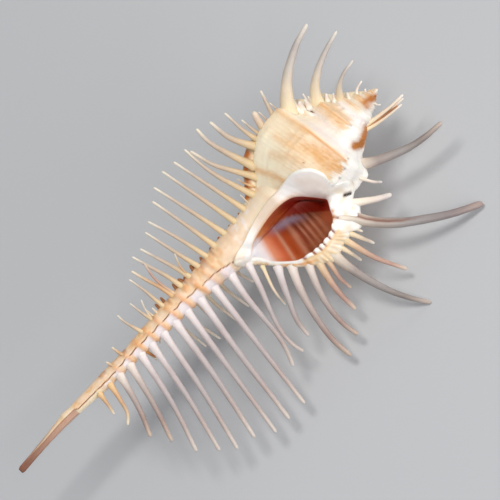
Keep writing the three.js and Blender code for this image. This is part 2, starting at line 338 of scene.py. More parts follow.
# coiled wall: the outline is carried round the axis and shrinks by the growth each turn to the apex
def whorlSheet():
    t = whorl
    outer = smoothPath(whorlOutline, t["rows"])
    tangent = np.gradient(outer, axis=0)
    normal = np.stack([-tangent[:, 1], tangent[:, 0]], 1)
    normal /= np.linalg.norm(normal, axis=1)[:, None]
    turns = np.concatenate([
        [0.015], np.linspace(0.015, 0.45, 40), np.linspace(0.45, 1.1, 125)[1:],
        np.linspace(1.1, 2.2, 105)[1:], np.linspace(2.2, coil["turns"], 84)[1:],
    ])[:, None]
    angle = coil["lipAngle"] - 360 * turns
    shoulder = coil["lipShoulder"] * coil["growth"] ** -turns
    u = outer[None, :, 0]
    length = walked(outer)[None, :] * coil["lipShoulder"]
    side = ramp(u, 0.95, 1.05) * (1 - ramp(u, 1.85, 2.05))
    older = ramp(turns, 1.0, 1.3)

    # relief: varices, cords along the coil, low folds between varices, frills and uneven steps
    swell = varixSwell(angle) * (0.25 + 0.75 * ramp(turns, 0.1, 0.3))
    cordPhase = length / coil["cordSpacing"] + 0.07 * patches(turns * 14, length * 0.3)
    cords = 0.5 + 0.5 * np.cos(2 * math.pi * cordPhase)
    cordIndex = np.floor(cordPhase + 0.5)
    cordShare = cords * coil["cordHeight"] * (0.5 + uneven(cordIndex, 1)) * side / coil["lipShoulder"]
    folds = np.cos(2 * math.pi * turns * 15) * bell(u - 1.04, 0.14) * 0.004 * ramp(turns, 0.06, 0.1)
    ruffle = patches(turns * 34 + u * 2, u * 11) - 0.5
    frills = ruffle * np.clip(swell / 0.1, 0, 1) * (0.025 + 0.1 * older) + ruffle * 0.045 * older
    steps = (patches(turns * 90, u * 5) - 0.5) * (0.012 + 0.02 * older)
    rho = outer[None, :, 1] * (1 + swell * (0.25 + 0.75 * side)) + cordShare + folds + frills + steps
    outX = coil["apex"][0] - shoulder * u
    flatY = axisY(outX) - shoulder * rho * np.cos(np.radians(angle))
    rho = rho - 0.02 * bell(lineDistance(outX, flatY, t["dent"]), 0.8) * ramp(turns, 1.5, 1.7)
    outU = np.broadcast_to(u, rho.shape)
    pick = np.linspace(t["rows"] - 1, 0, t["innerRows"]).astype(int)
    thick = t["wall"] / shoulder * (np.arange(len(turns)) > 0)[:, None]
    inU = outU[:, pick] - normal[None, pick, 0] * thick
    inRho = rho[:, pick] - normal[None, pick, 1] * thick
    ringU, ringRho = np.concatenate([outU, inU], 1), np.concatenate([rho, inRho], 1)
    way = np.radians(angle)
    x = coil["apex"][0] - shoulder * ringU
    y = axisY(x) - shoulder * ringRho * np.cos(way)
    z = axisZ(x) + shoulder * ringRho * np.sin(way)
    # behind the mouth's edge and under the callus the older whorl draws back
    inMouth = ramp(turns, 0.8, 0.82) * ramp(x, 79, 80) * (1 - ramp(x, 101.6, 102.4))
    y = y + np.maximum(column(mouthEdge, 1, x) + 0.55 - y, 0) * inMouth
    sunk = bell(lineDistance(x, y, t["underCallus"]), 2.1)
    z = z - 1.3 * sunk * ramp(turns, 0.76, 0.78) * (z > 0)
    # the same on the right, where the older varix is broken
    over = y - column(t["brokenEdge"], 1, x)
    y = y + ((np.sqrt(over**2 + 0.3) - over) / 2 - 0.03) * ramp(turns, 1.2, 1.3)
    points = np.stack([x, y, z], -1)
    outX, outY, outZ = (points[:, :t["rows"], k] for k in range(3))

    # colours: cream with yellow clouds, broken tan lines along the cords, orange past the shoulder
    cloud = patches(turns * 26 + 1.5 * patches(turns * 11, length * 0.9), length * 0.35)
    dash = ramp(patches(turns * 46 + 3 * uneven(cordIndex, 5), cordIndex * 7.3 + 2), 0.3, 0.7)
    dash = dash * (0.6 + 0.4 * patches(turns * 240, cordIndex))
    line = ramp(1 - cords, 0.4, 0.95) * (0.15 + 0.85 * uneven(cordIndex, 3)) * dash
    speck = 0.6 * patches(turns * 70 + length * 0.3, length * 2.1)
    speck = speck + 0.4 * patches(turns * 190, length * 1.2 + turns * 30)
    zone = bell(u - 1.2, 0.11) * (1 - 0.8 * older) * (0.45 + 0.8 * cloud)
    zone = zone * (1.45 - 0.95 * ramp(outY, -2, 10))
    nextZone = bell(u - 1.33, 0.16) * (0.1 + 0.3 * speck) * (1 - older)
    onPenult = ramp(outX, 113, 118) * (1 - ramp(outX, 119.8, 121.4)) * ramp(outY, 0, 4.5)
    colour = paint(even(t["cream"], rho.shape), [
        (t["yellow"], 0.75 * ramp(cloud, 0.35, 0.8)),
        (t["tan"], 0.95 * line * side),
        (t["orange"], zone * (0.3 + 0.75 * ramp(speck, 0.25, 0.8) + 0.35 * line)),
        (t["tan"], 0.6 * zone + nextZone),
        (t["orange"], 0.75 * bell(u - 1.07, 0.018) * ramp(turns, 0.05, 0.08) * ramp(cloud, 0.1, 0.4)),
        (t["tan"], 0.5 * bell(u - 1.6, 0.035) * ramp(speck, 0.2, 0.6)),
        (t["ramp"], 0.85 * (1 - ramp(u, 0.99, 1.06)) * (1 - 0.85 * older)),
        (t["tan"], onPenult * (0.25 + 0.6 * speck)),
        (t["tan"], older * side * ramp(outX, 122, 124) * (0.1 + 0.4 * ramp(cloud, 0.3, 0.7))),
        (t["ramp"], 0.8 * older * (1 - ramp(outX, 115, 118))),
    ])
    colour = seamTone(colour, points[:, :t["rows"]])
    # pale zones by the varices, ivory on the left and white on the right, then stripes, dirt and painted
    # shade inside the mouth
    turned = angle % 360
    ragged = 12 * (patches(turns * 22, length * 0.9) + patches(turns * 70, length * 2.3) - 1)
    left = ramp(turned + ragged, 112 + 34 * older, 144 + 16 * older) * (1 - ramp(turned, 172, 180))
    reach = 52 + 26 * older
    right = 1 - ramp(turned + ragged, reach, reach + 12) + ramp(turned, 335, 350)
    front = ramp(outZ, 0, 2)
    brown = 1.4 * bell(lineDistance(outX, outY, t["brownPath"]), 1.05) * (0.6 + 0.7 * speck)
    ochre = 1.2 * bell(lineDistance(outX, outY, t["ochrePath"]), 1.1)
    # painted shade: the part of the older whorl that stands inside the mouth takes the dark shade tone
    parietalShade = ramp(u, 1.6, 1.72) * (1 - ramp(turned, 62, 76))  # what stands inside the mouth
    colour = paint(colour, [
        (t["yellow"], 0.35 * left),
        (t["ivory"], 0.6 * left + 0.5 * (1 - ramp(outX, 100, 105))),
        (t["white"], 0.92 * right * ramp(turns, 0.6, 0.7)),
        (t["white"], 0.3 * (1 - ramp(turned, 200, 262)) * ramp(turned, 180, 190)),
        (t["ramp"], bell(outX - 121.8, 1.0) * front),
        (t["white"], bell(outX - 115.6, 2.3) * bell(outY - 0.2, 2.6) * front),
        *[(t["tan"], force * bell(lineDistance(outX, outY, path), size) * front * (0.5 + 0.8 * speck))
          for path, size, force in t["stripes"]],
        (t["dirt"], ochre * ramp(outZ, -2, 0)),
        (t["dirt"], brown * ramp(outZ, -1, 1)),
        (t["darkDirt"], 0.8 * spots(outX, outY, t["specks"]) * ramp(outZ, -1, 1)),
        (t["shade"], parietalShade * ramp(turns, 0.8, 0.82) * (1 - ramp(turns, 1.2, 1.3))),
    ])
    ringColour = np.concatenate([colour, even(t["shade"], inU.shape)], 1)
    relief = np.stack(np.broadcast_arrays(length, turns * 100, 0.35 + 0.65 * side), -1)
    relief = np.concatenate([relief, relief[:, pick]], 1)
    addGrid(points, ringColour, relief, capStart=False)


whorlSheet()
print("whorls made")

mouth = {
    "parts": 6,  # steps between two rows of the table
    "across": [-0.1, -0.06, 0.0, 0.03, 0.06, 0.1, 0.15, 0.21, 0.28, 0.35, 0.42, 0.49, 0.56, 0.63,
               0.7, 0.76, 0.81, 0.86, 0.9, 0.94, 0.97, 1.0],
    "callusLift": [-1.6, -0.8, -0.2, 0.1, 0.16, 0.2, 0.22, 0.22, 0.2, 0.18, 0.17, 0.16, 0.17, 0.2,
                   0.24, 0.29, 0.34, 0.38, 0.38, 0.34, 0.24, 0.05],
    "callusRim": 0.34,  # how far the thick rim near the spire stands above that, mm
    "lipLift": [-3.4, -2.0, -0.5, 0.0, 0.2, 0.36, 0.48, 0.56, 0.6, 0.6, 0.58, 0.54, 0.5, 0.48,
                0.46, 0.45, 0.44, 0.42, 0.38, 0.3, 0.18, 0.0],
    "inward": 26,  # rings from the inner edge down into the shell
    "depth": 0.45,  # share of the shell's own depth
    "deepest": (91.0, -1.5, -9.8),
    "bowlWall": 0.4,
    "innerLight": 1.02,  # the thin wall lets some light through
    "toothGaps": [80.4, 83.6, 88, 90.7, 92.5, 93.9, 96, 97.8, 99.4],
    "shadeLine": [(80, 1), (82, -0.2), (84, -0.7), (86, -1.0), (88, -1.2), (90, -1.6), (92, -2.0),
                  (94, -3.1), (96, -4.5), (98, -6.1), (100, -7.8), (102, -10)],
    "callus": srgb(255, 248, 245),
    "callusDish": srgb(234, 210, 186),
    "white": srgb(255, 252, 246),
    "cream": srgb(238, 216, 184),
    "peach": srgb(226, 178, 140),
    "orange": srgb(222, 150, 86),
    "gap": srgb(150, 58, 28),
    # near black: painted shade inside the slit hole
    "shadedHole": srgb(34, 14, 8),
    "tan": srgb(240, 200, 142),
    "glint": srgb(196, 188, 214),
    "shadeNear": srgb(196, 98, 44),
    "shadeFar": srgb(168, 42, 18),
    # inner wall by place along the shell: ground tones, then stripes as place, width and strength
    "ground": [
        (79.5, srgb(232, 226, 230)), (81.8, srgb(226, 208, 204)), (83.4, srgb(216, 136, 98)),
        (85.6, srgb(206, 102, 62)), (88.9, srgb(184, 82, 34)), (92.1, srgb(136, 60, 32)),
        (96.7, srgb(144, 74, 44)), (98.8, srgb(176, 98, 64)), (100.2, srgb(204, 108, 66)),
        (102, srgb(216, 134, 88)),
    ],
    "stripe": srgb(222, 162, 130),
    "stripes": [(87.1, 0.45, 0.95), (90.6, 0.7, 0.73), (92.9, 0.38, 0.46), (94.4, 0.45, 0.5),
                (95.9, 0.42, 0.53), (97.6, 0.55, 0.4)],
    # orange marks at the corners of the lip: x, y, radius, strength
    "corners": [(100.3, -10.2, 0.75, 1), (101.2, -9, 0.5, 0.8), (83.4, -10.6, 0.4, 0.8),
                (80.4, -7, 0.35, 0.6), (87.8, -14, 0.9, 0.7)],
    "holeLine": [(106.2, -8.45), (107.5, -9.1)],
    "grooveLine": [(99.9, -10.2), (101.2, -11.4), (102.6, -12.8), (104.6, -15.6)],
}


# wall of the bowl: an oval fall from the rim towards the bowl's middle line, kept within the whorl
def bowlWall(rimX, rimY, rimZ, share, outward):
    fall, stay = np.sin(share * math.pi / 2), np.cos(share * math.pi / 2)
    x = 92 + (rimX - 92) * (1 - 0.2 * share)
    middle = column(mouthEdge, 1, x) - 0.25 - 1.9 * bell(x - 90, 8)
    y = middle + (rimY - middle) * stay + outward * np.sign(rimY - middle) * ramp(rimX, 80, 84)
    floor = 2.7 + (-mouth["depth"] * shellRadius(rimX, -60.0) - 2.7) * ramp(rimX, 79, 91)
    z = rimZ - (rimZ - floor + outward) * fall
    angle = np.degrees(np.arctan2(z, axisY(x) - y))
    limit = shellRadius(x, np.minimum(angle, coil["lipAngle"])) - 0.9 + outward
    shrink = np.where(angle < coil["lipAngle"], np.minimum(1, limit / np.hypot(axisY(x) - y, z)), 1)
    return x, axisY(x) + (y - axisY(x)) * shrink, z * shrink


# mouth: a broad face from the outer to the inner edge, then a bowl whose wall stays within the whorl
def mouthRing():
    t = mouth
    ring = smoothRing(mouthTable, t["parts"])[None, :, :]
    lip = np.clip(ring[..., 6], 0, 1)
    across = np.array(t["across"])[:, None]
    shown = np.clip(across, 0, 1)
    x = ring[..., 0] + (ring[..., 3] - ring[..., 0]) * shown
    y = ring[..., 1] + (ring[..., 4] - ring[..., 1]) * shown
    # the sunk skirt under the lip draws in a little
    draw = np.clip(-across, 0, 1) * 6 * lip
    x = x + (ring[..., 3] - ring[..., 0]) * draw * 0.3
    y = y + (ring[..., 4] - ring[..., 1]) * draw * 0.3
    straight = ring[..., 2] + (ring[..., 5] - ring[..., 2]) * shown
    ground = (frontHeight(x - 1.8, y) + frontHeight(x, y) + frontHeight(x + 1.8, y)) / 3
    lift = np.array(t["callusLift"])[:, None] * (0.7 + 0.5 * ramp(x, 90, 102))
    onShell = np.maximum(frontHeight(x, y), ground) + lift
    onShell = onShell + 0.3 * ramp(x, 92, 96) * ramp(shown, 0.02, 0.15)
    onShell = onShell + 0.35 * bell(np.hypot(x - 102.4, y + 3.8), 1.3)
    onShell = onShell + t["callusRim"] * bell(shown - 0.09, 0.07) * ramp(x, 95, 102)
    z = (1 - lip) * onShell + lip * (straight + np.array(t["lipLift"])[:, None])
    # folds that run across the lip, teeth on its inner edge, the slit hole and the groove of the long spine
    mark = np.arange(ring.shape[1])[None, :] / t["parts"]
    folds = np.cos(2 * math.pi * mark * 1.5) * bell(shown - 0.25, 0.3) * lip
    folds = folds * (1 - 0.85 * ramp(x, 98.5, 101))
    z = z + 0.22 * folds + 0.3 * (patches(x * 1.1, y * 1.1 + 40) - 0.5) * lip * bell(shown - 0.35, 0.35)
    toothed = lip * ramp(x, 86.8, 87.8) * (1 - ramp(x, 98.6, 99.6)) * (y < -8)
    wave = rootWave(x, t["toothGaps"])
    gap = ramp(wave, 0.8, 0.97)
    edge = ramp(shown, 0.76, 0.86)
    z = z + (0.4 * np.sqrt(1 - wave**2) - 0.5 * gap) * edge * toothed
    y = y + 0.3 * (1 - wave**2) * ramp(shown, 0.8, 1.0) * toothed
    shadedHole = bell(lineDistance(x, y, t["holeLine"]), 0.36)
    groove = bell(lineDistance(x, y, t["grooveLine"]), 0.32)
    z = z - 1.2 * shadedHole - 0.5 * groove * lip

    # face colours
    colour = paint(even(t["callus"], z.shape), [
        (t["callusDish"], 0.45 * bell(shown - 0.5, 0.28) * ramp(x, 98, 101)),
        (t["white"], bell(shown - 0.06, 0.09) * ramp(x, 90, 100) + 0.6 * (1 - ramp(x, 80, 88))),
        (t["callusDish"], 0.9 * ramp(x, 82, 87) * (1 - ramp(x, 92, 96))),
        (t["peach"], ramp(shown, 0.62, 0.98) * ramp(x, 79, 84) * (0.8 - 0.6 * ramp(x, 95, 100))),
        (t["orange"], 0.7 * ramp(shown, 0.9, 1.0) * (1 - ramp(x, 86, 92))),
        (whorl["cream"], 0.9 * (1 - ramp(shown, 0.0, 0.16)) * (1 - ramp(x, 94, 99))),
    ])
    lipColour = paint(even(t["cream"], z.shape), [
        (t["white"], 0.6 * ramp(patches(x * 0.8, y * 0.8), 0.35, 0.8)),
        (t["white"], ramp(x, 99.5, 103) * (0.3 + 0.6 * ramp(patches(x * 0.9, y * 0.9 + 9), 0.2, 0.6))),
        (t["tan"], 0.55 * ramp(folds, 0.3, 1) * (1 - ramp(x, 103, 105))),
        (t["orange"], 0.8 * bell(shown - 0.42, 0.12) * ramp(x, 82, 84) * (1 - ramp(x, 89, 91))),
        (t["white"], ramp(shown, 0.56, 0.68) * (1 - 0.8 * toothed)),
        (t["white"], edge * toothed),
        (t["gap"], gap * ramp(shown, 0.68, 0.76) * (1 - 0.6 * ramp(shown, 0.94, 1.0)) * toothed),
        (t["tan"], (0.7 * bell(shown - 0.7, 0.06) + 0.35 * bell(shown - 0.5, 0.3)) * toothed),
    ])
    stain = 0.6 * bell(np.hypot(x - 86.6, y + 16), 0.5)
    colour = paint(colour, [
        (lipColour, lip * np.ones(z.shape)),
        (t["orange"], spots(x, y, t["corners"])),
        (t["gap"], 0.9 * groove * lip * ramp(x, 100, 101) + stain),
        # painted shade: the slit hole is coloured near black for the dark inside it
        (t["shadedHole"], 1.6 * shadedHole),
    ])

    # inner wall, and the same wall again a little further out, so that the bowl has a thickness
    rim = (x[-1:], y[-1:], z[-1:])
    share = np.linspace(0, 1, t["inward"] + 1)[1:, None]
    insideX, insideY, insideZ = bowlWall(*rim, share, 0.0)
    outside = bowlWall(*rim, np.array([1.0, 0.85, 0.7, 0.55, 0.4, 0.28])[:, None], t["bowlWall"])
    lean = insideX - (insideY + 6) * np.clip(0.21 - 0.013 * (insideX - 87), 0.03, 0.24)
    overLine = insideY - column(t["shadeLine"], 1, insideX)
    inside = gradient(t["ground"], lean)
    for place, size, force in t["stripes"]:
        inside = mix(inside, t["stripe"], force * bell(lean - place, size))
    shade = mix(even(t["shadeNear"], lean.shape), t["shadeFar"], ramp(insideX, 90, 95))
    glint = 0.9 * bell(overLine + 0.95, 1.0) * ramp(insideX, 85, 90) * (1 - ramp(insideX, 92.5, 97))
    inside = paint(np.minimum(inside * t["innerLight"], 0.95), [
        (t["orange"], 0.25 * ramp(-insideY, 9.5, 12.5) * patches(insideX * 1.5, insideY * 0.8)),
        (t["glint"], glint),
        (shade, ramp(overLine, -0.15, 0.35) * ramp(insideX, 83, 88)),
        (t["orange"], ramp(overLine, -0.3, 0.3) * ramp(insideX, 79.5, 81) * (1 - ramp(insideX, 83, 88))),
        (t["white"], 0.8 * (1 - ramp(share, 0.02, 0.12)) * (1 - ramp(insideX, 84, 88)) * lip),
    ])
    # both walls end close to one point, deep enough to lie behind the bowl
    middle = np.array(t["deepest"])
    walls = [np.stack(part, -1) for part in (outside, (x, y, z), (insideX, insideY, insideZ))]
    first = middle + (walls[0][:1] - middle) * 0.02
    last = middle + (walls[2][-1:] - middle) * 0.02
    points = np.concatenate([first, *walls, last])
    behind = points[:len(outside[0]) + 1, :, 0]
    hidden = mix(even(whorl["shade"], behind.shape), t["white"], 1 - ramp(behind, 81, 83))
    inside = np.concatenate([inside, inside[-1:]])
    relief = np.stack([points[..., 0], points[..., 1] * 0.5, np.full(points.shape[:2], 0.1)], -1)
    addGrid(points, np.concatenate([hidden, colour, inside]), relief)


mouthRing()
print("mouth made")

canal = {
    "slitY": [(0, 0.75), (5, 1.1), (10, 1.25), (15, 1.65), (20.8, 1.6), (21.2, 0.8), (30, 0.85), (35, 1.05),
              (40, 1.35), (50, 1.35), (54, 1.5), (58, 1.45), (62, 1.15), (66, 0.75), (70, 0.6), (74, -0.4),
              (76, -1.2), (80, -2.6), (86, -3.4)],
    "slitDepth": 0.55,
    "flatness": 0.92,  # height against width
    "openEnd": 21.0,  # nearer the tip than this the canal is an open channel
    "rightRoots": [27.7, 31.1, 34.6, 38.2, 42, 45.7, 49.8, 53.8, 57.9, 62.4, 67, 72, 77, 81.5],
    "crossings": [35.3, 39.3, 43.4, 47.2, 51, 55, 59.3, 64.3, 68, 70.6],  # ridges that run over the slit
    "leftRoots": [31.5, 35.3, 39.3, 43.1, 47, 51, 54.9, 59.3, 61.8, 64.6, 68.1, 71.2, 74.5, 78.4, 82.1, 86],
    "peach": srgb(244, 214, 182),
    "yellow": srgb(242, 204, 150),
    "orange": srgb(232, 158, 92),
    "lilac": srgb(250, 238, 240),
    "tip": srgb(128, 78, 56),
    "trough": srgb(190, 148, 128),
    # dark brown: painted shade inside the canal's narrow slit
    "shadedSlit": srgb(150, 76, 52),
    "cream": srgb(255, 240, 208),
    "web": srgb(150, 78, 50),
}


# tapering tube round the middle line, raised where a spine's ridge crosses it and cut by the slit
def canalTube():
    t = canal
    x = np.concatenate([np.linspace(0, 86, 230), np.linspace(86, 116, 26)[1:]])[:, None]
    turn = np.linspace(-1, 1, 65)[None, :-1]
    angle = 90 + 180 * np.sign(turn) * (0.3 * np.abs(turn) + 0.7 * np.abs(turn) ** 1.8)
    way = np.radians(angle)
    radius = column(canalOutline, 2, x) * np.ones_like(angle)
    right = ramp(np.cos(way), -0.3, 0.7)
    left = ramp(-np.cos(way), 0.3, 0.95)
    shown = ramp(x, 28, 32) * (1 - ramp(x, 80, 88))
    across = column(canalOutline, 2, x) * np.cos(way)
    ridge = sum(bell(x - place - 0.22 * (across + 0.3), 0.62) for place in t["crossings"])
    leftRidge = ramp(rootWave(x, t["leftRoots"]), 0.4, 1) * shown * ramp(-across, 0.4, 1.2)
    ridge = np.maximum(ridge, 0.7 * leftRidge)
    ridge = ridge * (1 - 0.8 * ramp(x, 66, 74))
    root = ramp(rootWave(x, t["rightRoots"]), 0.1, 0.9) * right * ramp(x, 25, 29) * (1 - ramp(x, 76, 82))
    radius = radius * (0.97 + 0.14 * ridge * (1 - 0.5 * left) + 0.04 * root) * np.sqrt(ramp(x, -0.8, 0.8))
    # cut back on the right where the mouth opens
    cutBack = ramp(x, 78, 81) * (1 - ramp(x, 99, 104))
    limit = axisY(x) - column(mouthEdge, 1, x) - 0.8 + 0.55 * ramp(x, 81, 84)
    limit = limit / np.maximum(np.cos(way), 1e-3)
    radius = np.where(np.cos(way) > 0, radius + (np.clip(limit, 0.3, radius) - radius) * cutBack, radius)
    # slit: short bowed pieces between the ridges, an open channel near the tip
    bow = 0.3 * (rootWave(x + 0.5, t["crossings"]) - 0.5) * shown * (1 - ramp(x, 64, 68))
    slitY = column(t["slitY"], 1, x) + bow + 0.07 * np.sin(x * 2.3) * ramp(x, 22, 30)
    slitAngle = np.arccos(np.clip((axisY(x) - slitY) / np.maximum(radius, 0.3), -0.95, 0.95))
    off = (way - slitAngle) * radius
    channel = 1 - ramp(x, t["openEnd"] - 0.5, t["openEnd"] + 0.1)
    seen = 1 - ramp(x, 77, 79)
    bridged = 0.95 * ramp(ridge, 0.12, 0.45) * ramp(x, 34, 35) * (1 - ramp(x, 65, 68))
    cut = bell(off, 0.105) * (1 - bridged)
    trough = ramp(off, -1.5, -0.6) * (1 - ramp(off, -0.3, 0.1))
    shadedSlit = np.where(channel > 0.5, trough, cut) * seen
    lips = bell(np.abs(off) - 0.45, 0.28) * (1 - channel) * seen
    threads = 0.05 * (patches(x * 1.6, angle / 9) - 0.5) * ramp(x, 20, 40)
    radius = radius - t["slitDepth"] * shadedSlit * np.minimum(1, radius * 0.7) + 0.1 * lips + threads
    radius = np.maximum(radius, 0.04)
    wide = x * np.ones_like(angle)
    y, z = axisY(wide) - radius * np.cos(way), axisZ(wide) + t["flatness"] * radius * np.sin(way)
    points = np.stack([wide, y, z], -1)

    cloud = patches(x * 0.42, angle / 40)
    fine = patches(x * 1.7, angle / 14)
    below = ramp(-off, 0.0, 0.4)
    bright = 1 - 0.75 * ramp(x, 70, 80)
    atRoots = below * ramp(rootWave(x, t["rightRoots"]), 0.05, 0.6) * shown
    webbed = left * ramp(patches(x * 1.1, 4 + 0 * angle), 0.55, 0.8) * shown
    colour = paint(even(t["peach"], radius.shape), [
        (t["yellow"], 0.55 * ramp(cloud, 0.4, 0.75) * bright),
        (t["orange"], 0.4 * ramp(fine * cloud, 0.25, 0.6) * bright),
        (t["lilac"], 0.95 * atRoots),
        (t["cream"], 0.7 * below * (1 - ramp(x, 27, 31)) * (1 - channel)),
        (t["orange"], ridge * (0.4 + 0.4 * fine)),
        (t["web"], 0.5 * webbed),
        (whorl["cream"], 0.8 * ramp(x, 78, 86)),
        (t["lilac"], 0.8 * ramp(fine, 0.45, 0.8) * ramp(x, 76, 84)),
    ])
    colour = paint(seamTone(colour, points), [
        (t["trough"], 0.85 * below * channel),
        (t["tip"], 0.95 * (1 - ramp(x, 0, 18))),
        (t["cream"], 0.35 * ramp(off, 0.1, 0.3) * channel * ramp(x, 8, 20)),
        (t["web"], np.where(channel > 0.5, 0.55 * bell(off + 0.1, 0.16), 0)),
        (t["cream"], 0.4 * bell(off - 0.2, 0.12) * channel * ramp(x, 1, 8)),
        # painted shade: the closed canal's slit is coloured dark for the shade inside it
        (t["shadedSlit"], np.where(channel > 0.5, 0, shadedSlit * 1.15)),
        (whorl["shade"], ramp(x, 80.5, 82) * cutBack * ramp(np.cos(way), 0.1, 0.3)),
    ])
    relief = np.stack(np.broadcast_arrays(x, angle / 6, 0.4), -1)
    addGrid(points, colour, relief)


canalTube()
print("canal made")

# spines along the lip: palette, width, then points from root to tip
lipComb = [
    ("tan", 1.2, (27.9, -0.6), (27.5, -3.6), (26.9, -6.5)),
    ("tan", 1.4, (31.4, -0.6), (30.6, -4.6), (29.2, -9), (27.4, -10.75)),
    ("blush", 1.9, (34.8, -0.6), (32.3, -10), (29.4, -16.9)),
    ("blush", 1.9, (38.4, -0.6), (35.3, -12.9), (32.4, -21.4)),
    ("lilac", 1.9, (42.2, -0.6), (38.9, -15.5), (34.9, -27.6)),
    ("lilac", 1.9, (45.9, -0.6), (42.8, -17), (39.1, -31.5)),
    ("lilac", 1.9, (50, -0.7), (46.9, -17), (42.6, -34.4)),
    ("lilac", 2.0, (54, -0.8), (51.5, -17), (47.6, -35.4)),
    ("lilac", 1.9, (58.1, -0.9), (55.6, -17), (52.3, -38.3)),
    ("lilac", 2.0, (62.5, -1.1), (59.9, -17), (57, -38.3)),
    ("lilac", 1.9, (67, -1.5), (65, -17), (62.4, -38.3)),
    ("lilac", 1.9, (72.2, -2.5), (71.1, -8), (68.7, -25.5), (67.0, -29.6)),
    ("lilac", 1.7, (77.2, -3.5), (75.75, -8), (70.9, -26.3), (71.5, -28.8)),
    ("cream", 1.0, (79.3, -6.4), (77, -13), (76.5, -17.4)),
    ("lilac", 2.0, (82.0, -9.2), (80.8, -11.2), (77.8, -17.4), (75.7, -22.4), (75.2, -27)),
    ("blush", 2.2, (84.6, -11.4), (83.6, -13.2), (80, -23.6), (78.7, -33), (79.1, -37.9)),
    ("blush", 2.0, (88.0, -13.8), (87.0, -15.8), (84.1, -23.6), (83.4, -31.4), (84.1, -35.5)),
    ("rose", 2.0, (90.3, -14.4), (89.5, -17), (88.2, -23.6), (88.1, -30.6)),
    ("rose", 1.5, (92.1, -15.2), (91.4, -19), (90.8, -22), (91.1, -26)),
    ("grey", 2.6, (93.8, -16.4), (94, -19.6), (95.3, -26.75), (97.3, -33), (99.6, -37.9),
     (102.6, -42.7)),
    ("cream", 1.4, (96.0, -15.6), (96.8, -18.6), (97.8, -23)),
    ("rose", 1.7, (98.1, -15.2), (98.9, -18.4), (100.2, -23.6), (104.3, -32.6)),
    ("cream", 1.4, (100.0, -15.0), (101.1, -17.6), (103.1, -22.2)),
    ("cream", 1.0, (101.9, -15.6), (103, -18)),
    ("grooved", 3.0, (101.6, -11.2), (103.8, -13.8), (105.6, -16.9), (109.8, -21.8), (116.2, -26.8),
     (122.5, -30.9), (129.4, -34.3)),
    ("white", 2.1, (105.4, -10.8), (107.7, -12.3), (110.9, -14.5), (114.75, -16.6)),
    ("white", 1.1, (111.3, -6.4), (112.1, -8.4), (113.1, -10.3), (115.3, -12.7)),
    ("white", 1.0, (107.2, -8.6), (108.6, -9.6)),
    ("white", 1.3, (105.9, -9.4), (107.1, -10.9)),
    ("white", 1.0, (112.4, -6.4), (113.8, -7.9)),
    ("white", 0.9, (109.4, -6.8), (110.6, -8.3)),
]
